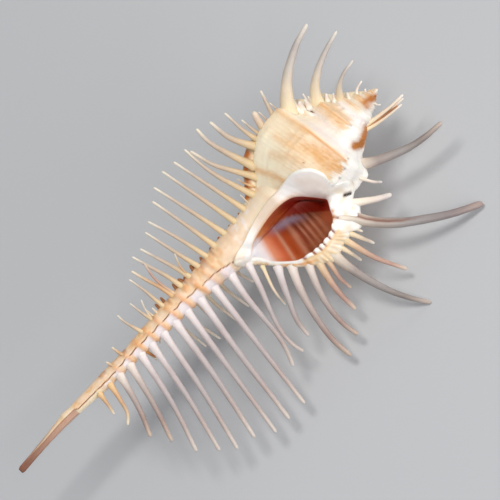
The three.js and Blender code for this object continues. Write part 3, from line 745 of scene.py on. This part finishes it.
# spines along the left side
leftComb = [
    ("tan", 1.1, (35.6, 0.9), (35.1, 2.6), (34.7, 4.3)),
    ("tan", 1.1, (39.2, 1.2), (38.6, 3.6), (38.3, 5.9)),
    ("pale", 1.1, (46.6, 2.2), (45.7, 5.6), (45.1, 8.1), (45, 10.5)),
    ("pale", 0.95, (50.5, 2.6), (49.8, 6), (49.3, 10.4)),
    ("cream", 0.6, (50.4, 3.4), (50.8, 6.2), (51.9, 9.1)),
    ("cream", 0.5, (51.2, 3.4), (51.1, 5), (50.9, 6.7)),
    ("cream", 0.8, (52.4, 3.2), (52.4, 5.7)),
    ("pale", 1.2, (54.7, 3), (54.4, 6.6), (54.2, 9.6), (53.4, 14.7)),
    ("tan", 1.3, (58.3, 3), (57.4, 8.1), (56.3, 11.6), (55.25, 15.8)),
    ("rose", 0.9, (59.1, 3), (58.2, 8), (58.1, 11), (58.9, 14.9)),
    ("pale", 1.4, (61.6, 3), (60.6, 8.75), (59.5, 12.5), (57.9, 18.2)),
    ("pale", 1.4, (64.8, 3), (63.7, 8.1), (62.4, 12.5), (60.7, 18.2)),
    ("tan", 0.7, (64.4, 3.6), (64.8, 8.4), (66, 11.25)),
    ("pale", 1.4, (68.3, 3), (66.3, 11.6), (64.5, 20.2)),
    ("pale", 1.4, (71.5, 3.4), (69, 14.4), (66.9, 21.6)),
    ("pale", 1.5, (74.7, 3.8), (72.6, 16.6), (71.2, 24.4)),
    ("pale", 1.5, (78.7, 4.2), (76.2, 16.25), (73.9, 26.6)),
    ("pale", 1.5, (82.5, 4.8), (80.1, 17.6), (78.2, 28)),
    ("pale", 1.5, (86.4, 5.4), (83.7, 18.5), (81.9, 27.6)),
    ("cream", 0.5, (87.9, 6), (87.9, 10.1)),
    ("pale", 1.6, (90.4, 7.2), (88.9, 11.6), (87.4, 16.3), (86.5, 20.7), (86, 27.9)),
    ("pale", 1.7, (94, 10.2), (90.25, 16.6), (88.7, 19.4), (86.75, 26.5)),
    ("tan", 0.6, (91.2, 10.2), (90.5, 11.8), (90.2, 13.4)),
    ("pale", 2.0, (95.4, 12.6), (93.5, 17.9), (92.4, 21.5), (91.6, 25), (91.75, 29.4)),
    ("pale", 2.0, (99.8, 14.8), (97.4, 18.8), (96, 22), (95.3, 28.25)),
    ("pale", 1.4, (100.9, 15.4), (99.8, 20.7), (99.5, 27.2)),
    ("pale", 1.1, (102.3, 16), (101.6, 19.6), (101.25, 23)),
    ("stub", 2.0, (103.5, 15.6), (103.9, 19), (104.8, 22.4)),
    ("pale", 0.8, (105.8, 15.8), (105.7, 21.4)),
    ("pale", 1.5, (106.8, 15.2), (108.2, 20.2), (109.75, 24.8)),
    ("pale", 0.7, (109.6, 16.2), (109.2, 21.1)),
    ("horn", 3.4, (110.6, 15.2), (112.9, 18.6), (116.9, 22.5), (120.6, 24.8), (123.75, 26.4),
     (129.7, 28.3)),
    ("white", 1.8, (112.6, 15.2), (114.0, 18.0)),
    ("white", 1.7, (113.6, 13.8), (114.8, 16.2)),
    ("white", 1.5, (115.6, 13.2), (116.1, 15.6)),
    ("white", 0.7, (116.2, 14.6), (116.75, 16.9)),
    ("white", 0.9, (116.9, 13.6), (117.2, 15.5)),
    ("horn", 2.6, (117.6, 12.2), (119.4, 15.2), (123.75, 18.4), (126.9, 19.8), (133.6, 21.9)),
    ("white", 1.2, (119.8, 11.2), (120.9, 12.8)),
    ("white", 1.0, (121.2, 10), (122.2, 11.6)),
    ("horn", 1.7, (122.3, 9), (124.2, 11.5), (127.5, 13.2), (131.3, 13.8)),
    ("white", 1.0, (123.8, 7.4), (124.8, 9.3)),
    ("white", 0.8, (125.8, 6.6), (127, 8), (129.5, 8.75)),
    ("white", 0.8, (127.6, 5.2), (128.7, 6.8)),
]
# spines under the shell: palette, width, depth of the tip, then points
lowerComb = [
    ("cream", 1.2, -14, (44, 0.5), (43.4, -0.4), (43.5, -4.7)),
    ("cream", 1.3, -17, (49, 0.6), (48.4, 0), (47, -2)),
    ("cream", 1.3, -19, (54, 0.5), (54.0, -3.9), (54.6, -10.9)),
    ("cream", 1.4, -20.5, (59, 0.6), (57.4, -5), (58.5, -12.1)),
    ("cream", 1.3, -16, (60.9, 0.4), (60.9, -2.6), (60.7, -7)),
    ("cream", 1.4, -21.5, (64.4, 0.6), (64.1, -5.5), (64.9, -12.3)),
    ("cream", 1.4, -22, (69, 0.6), (68.5, -4.4), (69.5, -11.4)),
    ("cream", 1.4, -22.5, (74, 1), (73.6, -3), (74.7, -7.8)),
    ("cream", 1.8, -23, (80, 1.5), (79.4, 1), (78, -1.6)),
    ("cream", 1.8, -24, (86, 2.3), (85.4, 2), (84.6, 0.6)),
    ("cream", 1.9, -25, (92, 3), (91.4, 3.4), (91, 3.2)),
    ("cream", 2.0, -26, (97.5, 3.6), (97.6, 4.6), (98.4, 5.2)),
    ("cream", 2.1, -26.5, (103, 3.9), (104, 5.6), (106.4, 7.4)),
    ("cream", 2.6, -26.5, (109.5, 4.2), (112, 6), (118, 8)),
    ("cream", 1.9, -18, (118, 4.4), (120.4, 5.4), (125, 6.4)),
    ("cream", 1.3, -11, (123, 4.5), (124.6, 5), (127.4, 5.4)),
]
# spines of the older lip on the spire; the last ones are one broken hollow spine
formerLip = [
    ("grey", 2.9, (113.2, -4.6), (115.6, -6.6), (118.1, -8.1), (120.9, -9.3), (124.1, -10.7),
     (127.3, -11.7), (130.6, -12.3), (136.3, -12.7)),
    ("cream", 1.3, (120.4, 0.8), (123, 0.1), (126.4, -0.5), (130, -0.9), (134.3, -1.0)),
    ("cream", 0.8, (127.2, -1.0), (130.2, -1.5), (133.75, -1.7)),
    ("cream", 1.0, (120.8, -0.4), (123.4, -1.2), (127.6, -2.0), (132.4, -2.5)),
    ("rust", 0.7, (121.2, 0.2), (124, -0.7), (127.6, -1.4), (131.4, -2.0)),
    ("rust", 1.3, (116.2, -1.4), (117.9, -2.7)),
    ("rust", 1.2, (118.4, -1.2), (119.6, -2.4)),
    ("rust", 1.1, (119.6, -0.4), (121.4, -1.3)),
    ("white", 0.6, (126.8, 2.8), (127.9, 2.4), (128.0, 1.7), (128.7, 1.2)),
]
# brown webs at the feet of the left spines, at a depth of their own
webs = [
    (1.3, (60.0, 3.6), (60.2, 6.4)), (1.6, (62.6, 3.6), (62.0, 6.3)), (1.2, (63.2, 3.6), (63.4, 5.6)),
    (1.5, (66.2, 3.6), (66.6, 6.6)), (1.3, (67.6, 3.8), (67.4, 6.0)), (1.2, (69.4, 4), (69.8, 6.3)),
    (1.2, (72.8, 4.2), (73.2, 6.2)), (1.2, (76.0, 4.6), (76.6, 6.6)), (1.2, (80, 5), (80.6, 6.8)),
    (1.1, (84, 5.4), (84.4, 7.3)), (0.9, (43.6, -0.6), (44.3, -3.8)), (1.2, (55.4, 3), (55.7, 6.1)),
    (1.2, (53.8, 3), (53.5, 5.9)),
]
spineTable = {
    "rings": [-1, -0.45, 0, 0.03, 0.07, 0.12, 0.18, 0.25, 0.33, 0.42, 0.5, 0.58, 0.66, 0.74, 0.81, 0.87,
              0.92, 0.955, 0.98, 0.993, 1.0],
    "sides": 11,
    "flare": 0.4,
    "sunk": 1.6,  # how far the root goes on inside the shell, mm
    "shallow": 0.3,  # the same where the root stands over the hollow of the mouth
    "short": 6.0,  # a spine shorter than this keeps to the shell's surface
    "webDepth": 0.2,
    "groove": srgb(128, 76, 58),
}
# each palette: colours at the root, quarter, middle, three quarters and tip, how much the spine
# narrows, and how far the flare reaches against the width
palettes = {
    "lilac": ([(242, 232, 230), (200, 186, 184), (184, 173, 171), (184, 166, 160), (216, 204, 194)],
              0.48, 0.7),
    "grey": ([(240, 224, 204), (160, 146, 140), (154, 146, 142), (134, 122, 116), (192, 176, 164)],
             0.6, 0.8),
    # the grooved spine's three-quarter tone is partly its own grey-brown and partly painted shade of its
    # far end
    "grooved": ([(246, 232, 214), (174, 160, 150), (154, 148, 146), (138, 126, 124), (168, 146, 138)],
                0.42, 1.0),
    "blush": ([(242, 228, 218), (194, 178, 170), (172, 156, 150), (164, 138, 128), (204, 184, 166)],
              0.46, 0.7),
    "tan": ([(238, 198, 146), (220, 176, 130), (206, 166, 128), (214, 186, 152), (238, 224, 202)],
            0.5, 0.7),
    "rose": ([(246, 222, 180), (216, 180, 148), (194, 156, 138), (190, 152, 136), (224, 204, 184)],
             0.45, 0.9),
    "cream": ([(248, 230, 190), (240, 218, 184), (230, 208, 182), (234, 216, 196), (248, 238, 224)],
              0.5, 0.9),
    "white": ([(255, 250, 242), (246, 233, 216), (230, 216, 202), (228, 214, 206), (250, 244, 234)],
              0.42, 1.0),
    "horn": ([(246, 226, 186), (226, 208, 180), (200, 189, 178), (184, 174, 168), (226, 218, 206)],
             0.68, 1.5),
    "pale": ([(242, 214, 166), (224, 197, 158), (203, 180, 156), (200, 182, 164), (238, 228, 210)],
             0.6, 1.5),
    "stub": ([(248, 220, 172), (232, 204, 164), (222, 196, 166), (222, 198, 176), (236, 218, 196)],
             0.25, 1.5),
    "rust": ([(206, 154, 92), (186, 126, 64), (164, 104, 50), (150, 92, 44), (176, 120, 66)],
             0.5, 0.7),
}


# round tube along the points: half the width, flared at the root, narrowing to a blunt round tip
def spine(palette, width, points, sunk=spineTable["sunk"]):
    t = spineTable
    points = np.array(points, float)
    inner = points[0] + (points[0] - points[1]) / np.linalg.norm(points[0] - points[1]) * sunk
    path = smoothPath(np.vstack([inner, points]), 120)
    steps = walked(path)
    length = steps[-1] - sunk
    rings = np.array(t["rings"])
    out = np.where(rings < 0, rings * sunk, rings * length)
    path = np.stack([np.interp(out + sunk, steps, path[:, k]) for k in range(3)], 1)
    tangent = np.gradient(path, out, axis=0)
    tangent /= np.linalg.norm(tangent, axis=1)[:, None]
    guide = np.array([0, 0, 1.0]) if abs(tangent[:, 2]).max() < 0.8 else np.array([1.0, 0, 0])
    front = guide - tangent * (tangent @ guide)[:, None]
    front /= np.linalg.norm(front, axis=1)[:, None]
    side = np.cross(tangent, front)
    share, out = np.clip(rings, 0, 1)[:, None], out[:, None]
    shades, narrowing, reach = palettes[palette]
    flare = 1 + t["flare"] * np.exp(-np.maximum(out, 0) / (reach * width))
    radius = width / 2 * (1 - narrowing * share) * flare
    endRadius = max(width / 2 * (1 - narrowing), 0.15)
    toEnd = np.clip((length - out) / (1.6 * endRadius), 0.01, 1)
    radius = radius * np.sqrt(1 - (1 - toEnd) ** 2) * np.where(out < 0, 0.7, 1)
    turn = np.linspace(0, 2 * math.pi, t["sides"], endpoint=False)[None, :]
    seed = points[0, 0]
    lumps = 1 + 0.08 * (patches(out * 0.9 + seed, turn * 1.2 + seed) - 0.5)
    groove = (palette == "grooved") * bell(turn - turn[0, -1], 0.35) * (1 - ramp(share, 0.35, 0.6))
    radius = radius * lumps * (1 - 0.45 * groove)
    points = (path[:, None] + front[:, None] * (radius * np.cos(turn) * 0.92)[..., None]
              + side[:, None] * (radius * np.sin(turn))[..., None])
    tones = [srgb(*shade) for shade in shades]
    colour = gradient(list(zip(np.linspace(0, 1, len(tones)), tones)), share)
    colour = colour * (0.94 + 0.1 * patches(out * 0.5 + seed, turn + seed))[..., None]
    colour = mix(colour, t["groove"], groove * 0.9)
    relief = np.stack(np.broadcast_arrays(turn * width, out * 0.7, 0.3), -1)
    addGrid(points, colour, relief)


# each comb stands on its varix: rows, angle, share of the shell's radius that its roots stand at,
# heights of the bend and of the tip, both near the canal's tip and near the spire, and root depth
combs = [
    (lipComb[:13], 12, 0.2, (1, 4), (2, -1), spineTable["sunk"]),
    (lipComb[13:], 12, 0.2, (1, 4), (2, -1), spineTable["shallow"]),
    (leftComb, 160, 0.3, (1.6, 5), (3, 5.5), spineTable["sunk"]),
    (formerLip, 12, 0.2, (2, 2), (3, 2.6), spineTable["sunk"]),
]


# height over the way along a spine: a parabola through its root, bend and tip heights
def archHeight(root, bend, tip, share):
    ends = root * (1 - share) * (1 - 2 * share) + tip * share * (2 * share - 1)
    return ends + 4 * bend * share * (1 - share)


# sets a comb's spines on its varix, their bend and tip heights changing evenly towards the spire
def comb(rows, angle, rootShare, bend, tip, sunk):
    for palette, width, *points in rows:
        flat = np.array(points, float)
        steps = walked(flat)
        rootZ = rootShare * float(shellRadius(flat[0, 0], angle))
        place = (flat[0, 0] - 30) / 80
        bendZ = bend[0] + (bend[1] - bend[0]) * place
        tipZ = tip[0] + (tip[1] - tip[0]) * place
        if steps[-1] < spineTable["short"]:
            bendZ, tipZ = rootZ + 0.3, rootZ + 0.6
        height = archHeight(rootZ, bendZ, tipZ, steps / steps[-1])
        spine(palette, width, np.column_stack([flat, height]), sunk)


# sets the lower comb, whose rows give the depth of each tip
def combBelow(rows, angle, rootShare):
    for palette, width, depth, *points in rows:
        flat = np.array(points, float)
        rootZ = rootShare * float(shellRadius(flat[0, 0], angle))
        height = archHeight(rootZ, 0.6 * depth, depth, np.linspace(0, 1, len(flat)))
        spine(palette, width, np.column_stack([flat, height]))


fringe = {
    # middle lines of the raised edge by the left spines, with half widths
    "body": [(84, 4.4, 1.4), (87, 5.8, 1.8), (89.4, 7.4, 1.8), (91.6, 9.8, 1.8), (94.2, 12.7, 1.8),
             (96.6, 14.8, 1.8), (99.4, 15.9, 1.8), (102, 16.3, 1.7), (105, 16.0, 1.5)],
    "spire": [(108, 15.6, 1.6), (110.6, 16.1, 1.9), (112.8, 16.0, 1.9), (114.2, 15.0, 2.0),
              (115.7, 13.5, 1.9), (118, 13.2, 1.6), (119.7, 12.1, 1.5), (121.2, 10.2, 1.3),
              (123.8, 8.7, 1.2), (126.3, 6.9, 1.1), (129.4, 5.2, 0.8)],
    "rings": 64,
    "sides": 18,
    # brown webs on its outer side: x, y, radius, strength
    "stains": [(88.6, 8.5, 0.9, 1.0), (90.7, 10.4, 1.1, 1.0), (92.2, 11.8, 0.9, 1.0),
               (93.6, 13.9, 1.2, 1.2), (96.1, 16.3, 1.2, 1.2), (99.1, 17.3, 0.9, 0.6),
               (101.3, 17.8, 0.8, 0.7)],
    "cream": srgb(248, 229, 196),
    "brown": srgb(196, 112, 38),
}


# raised edge of the whorls: a flat tube along its path, webbed in brown between the spines
def fringeEdge(rows):
    t = fringe
    path = smoothPath(rows, t["rings"])
    tangent = np.gradient(path[:, :2], axis=0)
    outward = np.stack([-tangent[:, 1], tangent[:, 0]], 1)
    outward /= np.linalg.norm(outward, axis=1)[:, None]
    turn = np.linspace(0, 2 * math.pi, t["sides"], endpoint=False)[None, :]
    share = np.linspace(0, 1, len(path))[:, None]
    radius = path[:, 2:] * np.sqrt(np.maximum(1 - (2 * share - 1) ** 4, 0.003))
    ragged = patches(share * 34, turn * 0.8) * ramp(np.cos(turn), -0.5, 0.8)
    radius = radius * (0.92 + 0.2 * ragged)
    x = path[:, :1] + outward[:, :1] * radius * np.cos(turn)
    y = path[:, 1:2] + outward[:, 1:] * radius * np.cos(turn)
    z = 0.2 + radius * np.sin(turn) * 0.8 - 0.5 * np.cos(turn)
    stain = 1.35 * spots(x, y, t["stains"]) * ramp(np.cos(turn), -0.45, 0.1)
    colour = mix(even(t["cream"], x.shape), t["brown"], stain)
    relief = np.stack(np.broadcast_arrays(turn * 2, share * 40, 0.4), -1)
    addGrid(np.stack([x, y, z], -1), colour, relief)


for settings in combs:
    comb(*settings)
combBelow(lowerComb, 265, -0.5)
for width, *points in webs:
    spine("rust", width, [(x, y, spineTable["webDepth"]) for x, y in points])
fringeEdge(fringe["body"])
fringeEdge(fringe["spire"])
print("spines made")


# the turn that lays the shell on its spines: its own x, y and z as the rows of a matrix
def rowFrame():
    up = np.array(pose["restUp"])
    up = up / np.linalg.norm(up)
    along = np.array([1.0, 0, 0]) - up * up[0]
    along /= np.linalg.norm(along)
    return np.stack([along, np.cross(up, along), up])


# joins every grid into one mesh and moves it so that its box stands where the frame's does
def joinShell():
    turn = rowFrame()
    starts = np.concatenate([[0], np.cumsum([len(grid[0]) for grid in grids])])
    vertices = np.concatenate([grid[0] for grid in grids]) @ turn.T * pose["millimetre"]
    low, high = (np.array(corner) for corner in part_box("murex_shell"))
    ownLow, ownHigh = vertices.min(axis=0), vertices.max(axis=0)
    shift = (low + high) / 2 - (ownLow + ownHigh) / 2
    shift[2] = low[2] - ownLow[2]
    faces = []
    for start, grid in zip(starts, grids):
        faces += (grid[1] + start).tolist() + (grid[2] + start).tolist()
    mesh = bpy.data.meshes.new("murexShell")
    mesh.from_pydata((vertices + shift).tolist(), [], faces)
    tint = np.clip(np.concatenate([grid[3] for grid in grids]), 0, 1)
    tint = np.concatenate([tint, np.ones((len(tint), 1))], 1).astype(np.float32)
    mesh.attributes.new("tint", "FLOAT_COLOR", "POINT").data.foreach_set("color", tint.ravel())
    relief = np.concatenate([grid[4] for grid in grids]).astype(np.float32)
    mesh.attributes.new("relief", "FLOAT_VECTOR", "POINT").data.foreach_set("vector", relief.ravel())
    mesh.shade_smooth()
    piece = bpy.data.objects.new("murexShell", mesh)
    bpy.context.collection.objects.link(piece)
    print("triangles", sum(len(polygon.vertices) - 2 for polygon in mesh.polygons))
    return piece, turn, shift


shell, turn, shift = joinShell()


# a number socket that ordinary sums can be written with: each sum adds a Math node
class Value:
    def __init__(self, graph, socket):
        self.graph, self.socket = graph, socket

    def math(self, operation, *inputs):
        node = self.graph.node("ShaderNodeMath", {"operation": operation}, dict(enumerate(inputs)))
        return Value(self.graph, node.outputs[0])

    def __add__(self, other):
        return self.math("ADD", self, other)

    def __mul__(self, other):
        return self.math("MULTIPLY", self, other)

    __radd__ = __add__
    __rmul__ = __mul__


# a material's nodes, with one way to add any node: type, settings, and socket values or links
class Graph:
    def __init__(self, name):
        self.material = bpy.data.materials.new(name)
        self.material.use_nodes = True
        self.tree = self.material.node_tree
        self.tree.nodes.clear()

    def node(self, kind, settings, sockets):
        made = self.tree.nodes.new(kind)
        for key, value in settings.items():
            setattr(made, key, value)
        for key, value in sockets.items():
            link = value.socket if isinstance(value, Value) else value
            if isinstance(link, bpy.types.NodeSocket):
                self.tree.links.new(link, made.inputs[key])
            else:
                made.inputs[key].default_value = value
        return made


finish = {
    "lineScale": 5.0,  # growth lines against the relief value
    "lineHeight": 0.9,
    "mottleScale": 420.0,
    "bumpStrength": 0.5,
    "bumpDistance": 0.0004,
    "roughness": 0.45,
    "glow": 0.12,  # share of light that goes through the surface
    "glowReach": (0.9, 0.5, 0.3),
    "glowScale": 0.0012,
    "coat": 0.15,
    "coatRoughness": 0.2,
}


# the shell's finish: its own tint, mottled a little, with fine growth lines as relief
def shellFinish():
    t = finish
    graph = Graph("shellFinish")
    tint = graph.node("ShaderNodeAttribute", {"attribute_name": "tint"}, {})
    relief = graph.node("ShaderNodeAttribute", {"attribute_name": "relief"}, {})
    parts = graph.node("ShaderNodeSeparateXYZ", {}, {0: relief.outputs["Vector"]})
    across, along, weight = (Value(graph, parts.outputs[k]) for k in range(3))
    place = graph.node("ShaderNodeCombineXYZ", {}, {0: across * 0.5, 1: along * 1.6, 2: 0.0})
    noise = graph.node("ShaderNodeTexNoise", {"noise_dimensions": "3D"},
                       {"Vector": place.outputs[0], "Scale": t["lineScale"], "Detail": 3.0})
    lines = Value(graph, noise.outputs[0])
    where = graph.node("ShaderNodeTexCoord", {}, {})
    noise = graph.node("ShaderNodeTexNoise", {"noise_dimensions": "3D"}, {
        "Vector": where.outputs["Object"], "Scale": t["mottleScale"], "Detail": 4.0, "Roughness": 0.6})
    mottle = Value(graph, noise.outputs[0])
    shade = mottle * 0.2 + lines * weight * 0.3 + 0.78
    colour = graph.node("ShaderNodeVectorMath", {"operation": "SCALE"},
                        {0: tint.outputs["Color"], "Scale": shade})
    height = lines * t["lineHeight"] * weight + mottle * 0.18
    bump = graph.node("ShaderNodeBump", {}, {
        "Height": height, "Strength": t["bumpStrength"], "Distance": t["bumpDistance"]})
    shader = graph.node("ShaderNodeBsdfPrincipled", {}, {
        "Base Color": colour.outputs[0], "Normal": bump.outputs[0], "Roughness": t["roughness"],
        "Subsurface Weight": t["glow"], "Subsurface Radius": t["glowReach"],
        "Subsurface Scale": t["glowScale"], "Coat Weight": t["coat"], "Coat Roughness": t["coatRoughness"],
    })
    graph.node("ShaderNodeOutputMaterial", {}, {"Surface": shader.outputs[0]})
    return graph.material


shell.data.materials.append(shellFinish())
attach(shell, "root")
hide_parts("murex_shell")
print("finish made")

view = {
    "middle": (79.9, -1.4, 0.0),  # what the view centres on, in the shell's own frame
    "span": 0.125,  # width of the view at the shell, metres
    "distance": 0.95,
    "sensor": 36.0,
    "floorSize": 3.0,
    "floorRoughness": 0.9,
    "floorColour": (0.5, 0.51, 0.53),
    "worldColour": (0.92, 0.95, 1.0),
    "worldStrength": 0.3,
    # each light: way to the right, up and towards the camera in metres, size, power, colour
    "lights": {
        "keyLight": ((-0.3, 0.32, 0.75), 0.22, 3.8, (1.0, 0.98, 0.94)),
        "frontLight": ((0.08, -0.05, 0.98), 0.3, 2.0, (1.0, 0.98, 0.95)),
        "fillLight": ((0.6, -0.1, 0.45), 0.6, 3.4, (0.98, 0.98, 1.0)),
        "rimLight": ((0.45, 0.6, 0.2), 0.3, 1.4, (1.0, 0.98, 0.95)),
    },
}


# one even colour
def plainMaterial(name, colour, roughness):
    graph = Graph(name)
    shader = graph.node("ShaderNodeBsdfPrincipled", {},
                        {"Base Color": (*colour, 1), "Roughness": roughness})
    graph.node("ShaderNodeOutputMaterial", {}, {"Surface": shader.outputs[0]})
    return graph.material


# a wide pale floor, soft lights and the camera, which looks straight at the mouth side
def buildSet():
    half = view["floorSize"] / 2
    mesh = bpy.data.meshes.new("floor")
    corners = [(-half, -half, 0), (half, -half, 0), (half, half, 0), (-half, half, 0)]
    mesh.from_pydata(corners, [], [(0, 1, 2, 3)])
    floor = bpy.data.objects.new("floor", mesh)
    floor.data.materials.append(plainMaterial("floorPaint", view["floorColour"], view["floorRoughness"]))
    bpy.context.collection.objects.link(floor)

    toRow = Matrix(turn.tolist())
    middle = toRow @ Vector(view["middle"]) * pose["millimetre"] + Vector(shift.tolist())
    right = toRow @ Vector((1, -1, 0)).normalized()
    up = toRow @ Vector((1, 1, 0)).normalized()
    back = toRow @ Vector((0, 0, 1))
    for name, (way, size, power, colour) in view["lights"].items():
        lamp = bpy.data.lights.new(name, "AREA")
        lamp.size = size
        lamp.energy = power
        lamp.color = colour
        spot = bpy.data.objects.new(name, lamp)
        away = right * way[0] + up * way[1] + back * way[2]
        facing = away.to_track_quat("Z", "Y").to_matrix().to_4x4()
        spot.matrix_world = Matrix.Translation(middle + away) @ facing
        bpy.context.collection.objects.link(spot)
    world = bpy.data.worlds.new("studio")
    world.use_nodes = True
    background = world.node_tree.nodes["Background"]
    background.inputs["Color"].default_value = (*view["worldColour"], 1)
    background.inputs["Strength"].default_value = view["worldStrength"]
    bpy.context.scene.world = world
    bpy.context.scene.view_settings.view_transform = "Standard"

    lens = bpy.data.cameras.new("camera")
    lens.sensor_width = view["sensor"]
    lens.lens = view["sensor"] * view["distance"] / view["span"]
    lens.clip_end = 20
    camera = bpy.data.objects.new("camera", lens)
    basis = Matrix((right, up, back)).transposed().to_4x4()
    camera.matrix_world = Matrix.Translation(middle + back * view["distance"]) @ basis
    bpy.context.collection.objects.link(camera)
    bpy.context.scene.camera = camera


buildSet()
bpy.context.view_layer.update()
print("set made")
